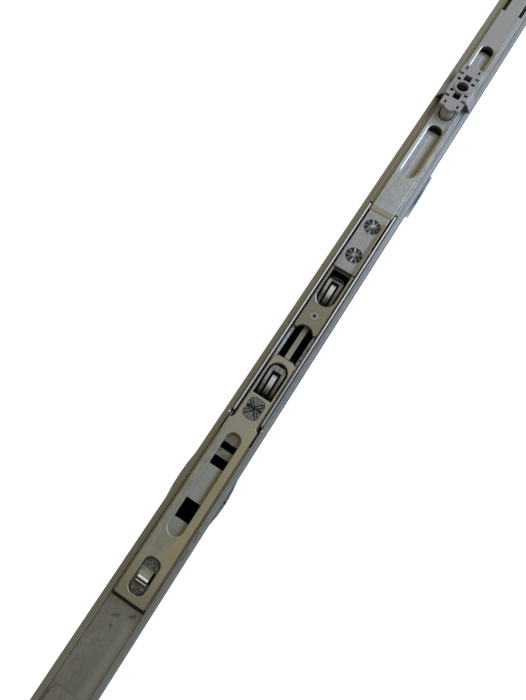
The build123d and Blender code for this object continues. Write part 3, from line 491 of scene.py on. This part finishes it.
CURL_HALF, CURL_SOFT, CURL_HEIGHT, CURL_HIGHLIGHT_TONE = 1.9, 0.06, (14.2, 14.6), (0.92, 0.95, 0.92)
DOTS = ((-188.3, 1.9, 0.35), (-188.0, 1.3, 0.3), (-187.6, 0.6, 0.5), (-190.8, 0.6, 0.42),
        (-186.0, -3.2, 0.5), (-185.4, -3.9, 0.6))
DOT_SOFT, DOT_SHARE = 0.8, 0.75
ROD_DARK = (11.2, 12.8)
PALE_ALONG, PALE_SIDE, PALE_PATCHES = (-92.6, -82.4, 0.3), (3.5, 3.7), (0.42, 0.56)
RIGHT_SHADE_ALONG, RIGHT_SHADE_SIDE, RIGHT_SHADE_PATCHES = (-94.0, -82.4, 0.3), (-3.9, -3.7), (0.40, 0.56, 0.95, 0.0)


def lower_rod_finish():
    finish = worn("rod_zinc", ROD_LOW, streak=0.03)
    finish.layer(finish.along(*ROD_FADE), ROD_MID)
    # Painted shadow: brown on the right of the slot floor
    slot = finish.band(finish.x, *ROD_SLOT)
    finish.layer(finish.every(finish.right_of(*ROD_SLOT_RIGHT), slot), ROD_SLOT_SHADE_TONE)
    # Patchy noise that breaks up the painted light and shade below
    patches = finish.noise(*PATCHES)
    # Painted shadow, in patches: dark olive at the slot's upper end
    olive = finish.every(finish.band(finish.x, *OLIVE_ALONG), finish.span(patches, *OLIVE_PATCHES))
    finish.layer(olive, OLIVE_SHADE_TONE)
    # Painted light: lighter on the right side of the rod's lower end
    foot = finish.every(finish.right_of(*ROD_RIGHT), finish.along(*ROD_FOOT))
    finish.layer(foot, ROD_FOOT_LIGHT_TONE)
    # Painted light: the strips of the rod beside the window plate lighter
    sides = finish.along(*ROD_SIDE_ALONG)
    rod_side = finish.reach(finish.off(finish.y), *ROD_SIDE)
    finish.layer(finish.every(rod_side, sides), ROD_SIDE_LIGHT_TONE)
    finish.layer(finish.every(finish.right_of(*ROD_RIGHT_SIDE), sides), ROD_RIGHT_SIDE_LIGHT_TONE)
    # Painted shadow: a near-black band just below the window plate's lower end
    finish.layer(finish.box(*PLATE_END_SHADOW), PLATE_END_SHADOW_TONE)
    lobes = finish.span(finish.noise(*LOBES), *LOBE_FADE)
    finish.layer(finish.every(finish.above(*LOBE_HEIGHT), lobes), LOBE_TONE)
    # Painted shade: a dark ring just inside the clinch's rim
    rim = finish.reach(finish.slot_distance(CLINCH_START, CLINCH_END, CLINCH_WIDTH), *CLINCH_RIM)
    finish.layer(finish.every(rim, finish.above(*CLINCH_RIM_HEIGHT)), SCRATCH_AND_SHADE_DARK)
    finish.layer(finish.box(*TROUGH), TROUGH_TONE)
    # Painted highlight: near white on the clinch's two curled lips
    for start, length, share in CURLS:
        x0 = CLINCH_START + start
        curl = finish.box(x0, x0 + length, -CURL_HALF, CURL_HALF, CURL_SOFT)
        finish.layer(finish.every(curl, share, finish.above(*CURL_HEIGHT)), CURL_HIGHLIGHT_TONE)
    for x, y, radius in DOTS:
        finish.layer(finish.every(finish.spot(x, y, radius, DOT_SOFT), DOT_SHARE), DIRT_AND_SHADE)
    # Painted shade: black below the rod's top
    finish.layer(finish.below(*ROD_DARK), BLACK)
    # Painted highlight, pale blue in patches, on the rod's left rail by the link bar, and painted
    # shade, near black in patches, on its right rail
    pale = finish.every(finish.band(finish.x, *PALE_ALONG), finish.left_of(*PALE_SIDE))
    finish.layer(finish.every(pale, finish.span(patches, *PALE_PATCHES)), PALE_BLUE_HIGHLIGHT)
    right_shade = finish.every(finish.band(finish.x, *RIGHT_SHADE_ALONG), finish.right_of(*RIGHT_SHADE_SIDE))
    finish.layer(finish.every(right_shade, finish.span(patches, *RIGHT_SHADE_PATCHES)), SCRATCH_AND_SHADE_DARK)
    return finish.done()


TAN_LEFT, TAN_STAIN = (0.345, 0.34, 0.295), 0.3
TAN_SIDE, TAN_RIGHT_SHADE = (-3.2, 0.5), (0.325, 0.285, 0.19)
TAN_TINTS = ((-130.0, -124.0, 0.0, 0.6, (0.34, 0.318, 0.25)),
             (-176.0, -160.0, 0.75, 0.0, (0.315, 0.29, 0.215)))
TAN_LINE, TAN_RIM_HIGHLIGHT_TONE = (-160.0, -128.0, 2.55, 2.85, 0.06), (0.30, 0.34, 0.43)
TAN_ENDS = ((-182.0, -168.0, 0.4, 0.0, (0.14, 0.118, 0.07)),
            (-98.0, -80.0, 0.0, 0.58, (0.13, 0.115, 0.075)))
POCKET, POCKET_ALONG, POCKET_SIDE = (-70.6, -40.0, 7.2), (-72.5, -68.0, 0.5), (1.0, 2.0)
POCKET_RIM = (0.0, 0.4, 1.0, 0.0)
TAN_DARK = (11.8, 12.9)


def tan_finish():
    finish = worn("tan_plate", TAN_LEFT, stain=TAN_STAIN)
    # Painted shade: browner towards the right
    finish.layer(finish.right_of(*TAN_SIDE), TAN_RIGHT_SHADE)
    for low, high, start, end, tone in TAN_TINTS:
        finish.layer(finish.along(low, high, start, end), tone)
    # Painted highlight: a bluish line along the slots' left rim
    finish.layer(finish.box(*TAN_LINE), TAN_RIM_HIGHLIGHT_TONE)
    for low, high, start, end, tone in TAN_ENDS:
        finish.layer(finish.along(low, high, start, end), tone)
    # Painted highlight: bright on the pocket's rim, low on its left
    pocket = finish.every(finish.band(finish.x, *POCKET_ALONG), finish.left_of(*POCKET_SIDE))
    rim = finish.reach(finish.slot_distance(*POCKET), *POCKET_RIM)
    finish.layer(finish.every(pocket, rim), PAINTED_HIGHLIGHT)
    # Painted shade: black low down, under the plates and the link bar
    finish.layer(finish.below(*TAN_DARK), BLACK)
    return finish.done()


TAN_RIVET_X, TAN_RIVET_TONE = -75.3, (0.22, 0.21, 0.175)
TAN_HEAD_RADIUS, TAN_HEAD_SOFT, TAN_HEAD_TONE = 1.55, 0.08, (0.27, 0.262, 0.22)
TAN_PIT_RADIUS, TAN_PIT_SOFT = 0.62, 0.6


def tan_rivet_finish():
    finish = worn("tan_rivet", TAN_RIVET_TONE)
    finish.layer(finish.spot(TAN_RIVET_X, 0.0, TAN_HEAD_RADIUS, TAN_HEAD_SOFT), TAN_HEAD_TONE)
    finish.layer(finish.spot(TAN_RIVET_X, 0.0, TAN_PIT_RADIUS, TAN_PIT_SOFT), SCRATCH_AND_SHADE_DARK)
    return finish.done()


# The upper rod's slots: start, end and width, and where the painted highlight along the left rim
# starts and ends
UPPER_SLOTS = ((-6.4, 22.4, 6.0, -4.0, 20.0), (26.2, 72.4, 5.65, 54.0, 70.2))
UPPER_TONE = (0.415, 0.43, 0.445)
UPPER_TOP, UPPER_TOP_TONE = (55.0, 75.0, 0.0, 0.9), (0.275, 0.285, 0.29)
UPPER_LEFT, UPPER_LEFT_ALONG = (2.6, 3.1), (-5.0, 21.0, 2.0)
UPPER_LEFT_LIGHT_TONE = (0.42, 0.45, 0.50)
UPPER_RIGHT, UPPER_RIGHT_SHADE_TONE = (-4.2, -2.8, 0.15), (0.20, 0.18, 0.12)
UPPER_RIGHT_ALONG = ((-3.0, 24.0, 2.0), (55.0, 72.0, 2.0))
UPPER_FOOT, UPPER_FOOT_TONE = (-26.6, -23.8, 0.3), (0.27, 0.25, 0.195)
SLOT_RIM, SLOT_RIM_SIDE, SLOT_RIM_SOFT = (0.1, 0.3, 1.0, 0.0), (0.2, 1.0), 0.8
SLOT_WALL, SLOT_WALL_END = (0.0, 0.2, 1.0, 0.0), 0.6
SLOT_WALL_HEIGHT, SLOT_WALL_SHADE_TONE = (14.5, 14.7), (0.12, 0.115, 0.095)


def upper_rod_finish():
    finish = worn("upper_zinc", UPPER_TONE)
    finish.layer(finish.along(*UPPER_TOP), UPPER_TOP_TONE)
    # Painted light: bluish on the rod's top left of the lower slot
    left = finish.every(finish.left_of(*UPPER_LEFT), finish.band(finish.x, *UPPER_LEFT_ALONG))
    finish.layer(left, UPPER_LEFT_LIGHT_TONE)
    # Painted shade: brown strips on the rod's right side
    right = finish.band(finish.y, *UPPER_RIGHT)
    for place in UPPER_RIGHT_ALONG:
        finish.layer(finish.every(right, finish.band(finish.x, *place)), UPPER_RIGHT_SHADE_TONE)
    finish.layer(finish.band(finish.x, *UPPER_FOOT), UPPER_FOOT_TONE)
    for x0, x1, width, start, end in UPPER_SLOTS:
        far = finish.slot_distance(x0, x1, width)
        # Painted highlight: a bright line along each slot's left rim
        rim = finish.every(finish.reach(far, *SLOT_RIM), finish.left_of(*SLOT_RIM_SIDE))
        finish.layer(finish.every(rim, finish.band(finish.x, start, end, SLOT_RIM_SOFT)), PAINTED_HIGHLIGHT)
        # Painted shade: the slot's upper end wall dark
        wall = finish.every(finish.reach(far, *SLOT_WALL), finish.along(end, end + SLOT_WALL_END))
        finish.layer(finish.every(wall, finish.below(*SLOT_WALL_HEIGHT)), SLOT_WALL_SHADE_TONE)
    return finish.done()


FLOOR_TONE = (0.36, 0.38, 0.41)
FLOOR_LINE, FLOOR_LINE_TONE = (0.2, 0.7, 0.2), (0.45, 0.47, 0.50)
FLOOR_RIGHT_SHADE, FLOOR_RIGHT_SHADE_TONE = (-1.5, -0.8), (0.20, 0.18, 0.115)
FLOOR_SHADE, FLOOR_SHADE_TONE = (-2.4, -1.2), (0.19, 0.175, 0.13)
FLOOR_BLACK = (-0.5, 0.0)
PAD_BLACK_FROM, RACK_BLACK_FROM = 70.6, 20.3


def slot_floor_finish(name, black_from):
    """Floor seen through a slot of the upper rod."""
    finish = worn(name, FLOOR_TONE)
    finish.layer(finish.band(finish.y, *FLOOR_LINE), FLOOR_LINE_TONE)
    # Painted shadow: brown on the floor's right part
    finish.layer(finish.right_of(*FLOOR_RIGHT_SHADE), FLOOR_RIGHT_SHADE_TONE)
    # Painted shade towards the slot's upper end, black right at its end
    for (low, high), tone in ((FLOOR_SHADE, FLOOR_SHADE_TONE), (FLOOR_BLACK, BLACK)):
        finish.layer(finish.along(black_from + low, black_from + high), tone)
    return finish.done()


BLOCK_TONE = (0.35, 0.36, 0.365)
BLOCK_RIGHT, BLOCK_ALONG = (-3.0, -2.3), (-30.0, -29.4, 1.0, 0.0)
BLOCK_RIGHT_SHADE_TONE = (0.185, 0.165, 0.105)
BLOCK_SIDE = (13.2, 14.6)
BLOCK_LEFT, BLOCK_LEFT_SIDE, BLOCK_LEFT_SHADE_TONE = (4.0, 4.4), (13.6, 14.7), (0.30, 0.335, 0.40)


def block_finish():
    finish = worn("block_zinc", BLOCK_TONE)
    # Painted shade: brown on the block's right side
    right = finish.every(finish.right_of(*BLOCK_RIGHT), finish.along(*BLOCK_ALONG))
    finish.layer(right, BLOCK_RIGHT_SHADE_TONE)
    # Painted shade: the block's sides darker below its top
    finish.layer(finish.below(*BLOCK_SIDE), DIRT_AND_SHADE)
    # Painted shade: a dark bluish strip on the block's left side below its top
    left = finish.every(finish.below(*BLOCK_LEFT_SIDE), finish.left_of(*BLOCK_LEFT))
    finish.layer(left, BLOCK_LEFT_SHADE_TONE)
    return finish.done()


RIVET_TONE, RIVET_METALLIC, RIVET_SPECK = (0.40, 0.41, 0.41), 0.45, 0.6
RIVET_MOTTLE, RIVET_MOTTLE_FADE = (0.8, EVEN, 5.0), (0.40, 0.58, 0.8, 0.0)
RIVET_MOTTLE_TONE = (0.08, 0.08, 0.08)
RIVET_GROOVES, GROOVE_TONE = (14.5, 14.95), (0.035, 0.034, 0.03)
PETALS, PETAL_FADE = (1.3, EVEN, 2.0), (0.40, 0.55)
PETAL_RADIUS, PETAL_SOFT, PETAL_TONE = 1.5, 0.3, (0.34, 0.35, 0.35)
BLOCK_RIVETS = (-47.0, -32.9)
CRESCENT_DX, CRESCENT_Y, CRESCENT_RADIUS, CRESCENT_SHARE = -0.9, -1.5, 1.3, 0.6
SHIELD_X, SHIELD_ALONG, SHIELD_GROOVES = -114.5, (-120.0, -105.0, 0.1), (14.72, 14.88)
SHIELD_SKIN, SHIELD_FADE = (0.6, EVEN, 3.0), (0.45, 0.55, 0.2, 0.8)
SHIELD_TONE = (0.085, 0.085, 0.08)
SHIELD_PIT_RADIUS, SHIELD_PIT_SOFT = 0.6, 0.4


def rivet_finish():
    """Struck heads: bright ridges, dark flutes."""
    finish = worn("rivet_steel", RIVET_TONE, metallic=RIVET_METALLIC, speck=RIVET_SPECK, edge=0)
    mottle = finish.span(finish.noise(*RIVET_MOTTLE), *RIVET_MOTTLE_FADE)
    finish.layer(mottle, RIVET_MOTTLE_TONE)
    finish.layer(finish.below(*RIVET_GROOVES), GROOVE_TONE)
    petals = finish.span(finish.noise(*PETALS), *PETAL_FADE)
    for x in BLOCK_RIVETS:
        head = finish.spot(x, 0.0, PETAL_RADIUS, PETAL_SOFT)
        finish.layer(finish.every(head, petals), PETAL_TONE)
        # Painted shade: a dark crescent beside each head
        crescent = finish.spot(x + CRESCENT_DX, CRESCENT_Y, CRESCENT_RADIUS)
        finish.layer(finish.every(crescent, CRESCENT_SHARE), SCRATCH_AND_SHADE_DARK)
    shield = finish.band(finish.x, *SHIELD_ALONG)
    finish.layer(finish.every(shield, finish.below(*SHIELD_GROOVES)), BLACK)
    skin = finish.span(finish.noise(*SHIELD_SKIN), *SHIELD_FADE)
    finish.layer(finish.every(shield, skin), SHIELD_TONE)
    finish.layer(finish.spot(SHIELD_X, 0.0, SHIELD_PIT_RADIUS, SHIELD_PIT_SOFT), BLACK)
    return finish.done()


# Latches: places along them are measured from the pivot
LATCHES = (("lower", -108.3, 14.0), ("upper", -68.4, 9.0))
LATCH_TONE, LATCH_ROUGHNESS, LATCH_EDGE = (0.33, 0.335, 0.32), 0.33, 0.3
LATCH_SPOTS, LATCH_SPOT_FADE = (1.6, (1.6, 0.7, 1.0), 4.0), (0.40, 0.60, 0.75, 0.0)
LATCH_SPOT_TONE = (0.15, 0.14, 0.105)
TONGUE_GLINT, TONGUE_GLINT_TONE = (3.4, 7.2, 1.2), (0.85, 0.92, 1.0)
TONGUE_FOOT, TONGUE_FOOT_TONE = (-0.6, 1.0, 0.6), (0.06, 0.057, 0.05)
TONGUE_SIDE, TONGUE_END = (0.78, 0.92), (7.2, 7.6)
FORK_LEFT, FORK_GLINT = (1.5, 2.0), (4.0, 8.5, 1.2)
FORK_SLOT_SIDE, FORK_SLOT_END = (1.62, 1.8, 1.0, 0.0), (8.7, 9.0, 1.0, 0.0)
FORK_SIDE, FORK_BLACK = (2.7, 2.9), 0.5
LATCH_DARK = (10.4, 12.2)


def latch_finish(name, pivot, black_from, tongue):
    """Domed latch with brown spots, a bluish painted highlight towards the nose, and painted shade:
    dark at the tongue's foot, black at its edges and low down.
    """
    finish = worn(name, LATCH_TONE, roughness=LATCH_ROUGHNESS, edge=LATCH_EDGE)
    along = finish.math("SUBTRACT", finish.x, pivot * MM)
    spots = finish.span(finish.noise(*LATCH_SPOTS), *LATCH_SPOT_FADE)
    finish.layer(spots, LATCH_SPOT_TONE)
    across = finish.off(finish.y)
    if tongue:
        finish.layer(finish.band(along, *TONGUE_GLINT), TONGUE_GLINT_TONE)
        # Painted shade: dark at the tongue's foot by the pivot
        finish.layer(finish.band(along, *TONGUE_FOOT), TONGUE_FOOT_TONE)
        # Painted shade: the tongue's sides and end black
        finish.layer(finish.reach(across, *TONGUE_SIDE), BLACK)
        finish.layer(finish.reach(along, *TONGUE_END), BLACK)
    else:
        glint = finish.every(finish.left_of(*FORK_LEFT), finish.band(along, *FORK_GLINT))
        finish.layer(glint, PALE_BLUE_HIGHLIGHT)
        # Painted shade: black along the fork's slot, on its outer sides, and over its front end
        slot = finish.every(finish.reach(across, *FORK_SLOT_SIDE),
                            finish.reach(along, *FORK_SLOT_END))
        finish.layer(slot, BLACK)
        finish.layer(finish.reach(across, *FORK_SIDE), BLACK)
        finish.layer(finish.reach(along, black_from, black_from + FORK_BLACK), BLACK)
    # Painted shade: black low down on the latch
    finish.layer(finish.below(*LATCH_DARK), BLACK)
    return finish.done()


PLASTIC, PLASTIC_ROUGHNESS = (0.275, 0.267, 0.28), 0.5
PLASTIC_MOTTLE, PLASTIC_FADE = (1.2, EVEN, 4.0), (0.3, 0.6, 0.3, 0.0)
PLASTIC_MOTTLE_TONE = (0.17, 0.165, 0.16)
WING_SIDE, WING_SHADE_TONE, LEFT_WING_SHADE_TONE = (4.9, 5.3), (0.135, 0.135, 0.155), (0.13, 0.12, 0.095)
WING_TOP, WING_TOP_SHADE_TONE = (41.1, 41.5), (0.07, 0.065, 0.055)
CLIP_X, CLIP_HALF_LENGTH, CLIP_HALF_WIDTH, CLIP_SOFT = 41.0, 6.8, 4.6, 0.05
CLIP_FLOOR, CLIP_FLOOR_TONE = (17.8, 18.9), (0.022, 0.02, 0.016)
NOSE, NOSE_SIDE, NOSE_LIGHT_TONE = (33.5, 34.5, 1.0, 0.0), (16.5, 17.9), (0.42, 0.41, 0.375)
CLIP_HOLES = ((2.8, 4.0, 2.45, 3.8), (9.45, 11.1, 2.3, 3.15))
CLIP_HOLE_SOFT, CLIP_HOLE_HEIGHT = 0.08, (16.0, 16.5)
PLASTIC_GRAIN, PLASTIC_DEPTH, PLASTIC_EDGE = (0.4, EVEN, 3.0), 0.03, 0.25


def clip_finish():
    finish = Finish("grey_plastic", PLASTIC, 0.0, PLASTIC_ROUGHNESS)
    mottle = finish.span(finish.noise(*PLASTIC_MOTTLE), *PLASTIC_FADE)
    finish.layer(mottle, PLASTIC_MOTTLE_TONE)
    across = finish.off(finish.y)
    # Painted shade: the wings dark, brown on the left side, darkest towards the upper end
    wings = finish.reach(across, *WING_SIDE)
    finish.layer(wings, WING_SHADE_TONE)
    finish.layer(finish.every(wings, finish.left_of(*MIDDLE)), LEFT_WING_SHADE_TONE)
    finish.layer(finish.every(wings, finish.along(*WING_TOP)), WING_TOP_SHADE_TONE)
    # Painted shade: near black low in the clip's middle
    middle = finish.box(CLIP_X - CLIP_HALF_LENGTH, CLIP_X + CLIP_HALF_LENGTH,
                        -CLIP_HALF_WIDTH, CLIP_HALF_WIDTH, CLIP_SOFT)
    finish.layer(finish.every(middle, finish.below(*CLIP_FLOOR)), CLIP_FLOOR_TONE)
    # Painted light: the nose lighter below the head
    finish.layer(finish.every(finish.along(*NOSE), finish.below(*NOSE_SIDE)), NOSE_LIGHT_TONE)
    # Painted shade: dark inside the holes in the clip's top
    from_middle = finish.off(finish.x, CLIP_X)
    for start, end, inner, outer in CLIP_HOLES:
        hole = finish.every(finish.band(from_middle, start, end, CLIP_HOLE_SOFT),
                            finish.band(across, inner, outer, CLIP_HOLE_SOFT))
        finish.layer(finish.every(hole, finish.above(*CLIP_HOLE_HEIGHT)), SCRATCH_AND_SHADE_DARK)
    finish.surface(finish.noise(*PLASTIC_GRAIN), PLASTIC_DEPTH, PLASTIC_EDGE)
    return finish.done()


# Two narrow lips along the channel's inner walls
LIP_SPAN, LIP_ACROSS, LIP_HEIGHT = (-23.2, 146.0), (4.85, 6.06), (13.9, 14.55)
LIP_LIGHT_TONE, LEFT_LIP_SHADE_TONE = (0.58, 0.64, 0.72), (0.17, 0.145, 0.085)
LIP_LINES, LIP_LINE_SHARE, LIP_LINE_TONE = (0.2, (90.0, 1.0, 40.0), 2.0), 0.4, (0.16, 0.18, 0.21)


def lip_finish():
    # Painted light and shade: the lips pale blue as if lit, the left one brown as shade
    finish = worn("channel_lip", LIP_LIGHT_TONE, edge=0)
    lines = finish.span(finish.noise(*LIP_LINES), *LINE_FADE, LIP_LINE_SHARE, 0.0)
    finish.layer(lines, LIP_LINE_TONE)
    finish.layer(finish.left_of(*MIDDLE), LEFT_LIP_SHADE_TONE)
    return finish.done()


HIDDEN_ROUGHNESS, HIDDEN_MOTTLE, HIDDEN_FADE = 0.8, (0.8,), (0.35, 0.65, 0.6, 0.0)
HIDDEN_TONE = (0.0008, 0.0008, 0.0008)


def hidden_finish():
    """Even black, as painted shade, for pieces that hardly show."""
    finish = Finish("black_plastic", BLACK, 0.0, HIDDEN_ROUGHNESS)
    finish.layer(finish.span(finish.noise(*HIDDEN_MOTTLE), *HIDDEN_FADE), HIDDEN_TONE)
    finish.shader.inputs["Specular IOR Level"].default_value = 0.0
    return finish.done()


def add_lips(material):
    """Narrow lips along both inner walls of the channel, above the ledges."""
    x0, x1 = (part * MM for part in LIP_SPAN)
    inner, outer = (part * MM for part in LIP_ACROSS)
    low, high = (part * MM for part in LIP_HEIGHT)
    for name, side in (("left", 1), ("right", -1)):
        mesh = bpy.data.meshes.new(f"{name}_channel_lip")
        corners = [(x, side * y, z) for x in (x0, x1) for y in (inner, outer) for z in (low, high)]
        faces = [(0, 1, 3, 2), (4, 6, 7, 5), (0, 4, 5, 1), (2, 3, 7, 6), (0, 2, 6, 4), (1, 5, 7, 3)]
        if side < 0:
            faces = [tuple(reversed(face)) for face in faces]
        mesh.from_pydata(corners, [], faces)
        lip = bpy.data.objects.new(f"{name}_channel_lip", mesh)
        bpy.context.scene.collection.objects.link(lip)
        mesh.materials.append(material)
        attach(lip, "root")


make_camera()
make_floor()
make_world()
make_light("key", KEY_AT, KEY_AIM, KEY_SIZE, KEY_POWER, KEY_COLOUR)
add_lips(lip_finish())

tan = tan_finish()
case = case_finish()
rivet = rivet_finish()
zinc = worn("plain_zinc", COOL_ZINC).done()
# Painted shade: the pieces deep inside, the guide strip among them, all even black
black = hidden_finish()
low_zinc = worn("end_zinc", ROD_LOW, streak=0.03).done()
finishes = {
    "faceplate": faceplate_finish(), "left_case": case, "right_case": case, "case_rivets": zinc,
    "handle_screw_sleeves": zinc, "detent_spring": black, "screw_guide_clip": clip_finish(),
    "rod_guide_strip": black, "rod_guide_pads": slot_floor_finish("pad_zinc", PAD_BLACK_FROM),
    "lower_rod": lower_rod_finish(), "lower_end_plate": low_zinc, "end_plate_rivets": low_zinc,
    "lower_window_plate": tan, "shield_rivet": rivet, "upper_window_plate": tan,
    "upper_plate_rivet": tan_rivet_finish(), "coupling_block": block_finish(),
    "block_rivets": rivet, "rack_bar": slot_floor_finish("rack_zinc", RACK_BLACK_FROM),
    "upper_rod": upper_rod_finish(), "link_bar": tan,
    "follower_hub": worn("hub_zinc", CASE_ZINC).done(),
}
for end, pivot, black_from in LATCHES:
    finishes[f"{end}_latch_fork"] = latch_finish(f"{end}_fork_steel", pivot, black_from, False)
    finishes[f"{end}_latch_tongue"] = latch_finish(f"{end}_tongue_steel", pivot, black_from, True)
    for part in ("cradle", "pin", "spring"):
        finishes[f"{end}_latch_{part}"] = black
for name, obj in nodes.items():
    obj.data.materials.clear()
    obj.data.materials.append(finishes[name])

bpy.context.scene.view_settings.view_transform = "Standard"
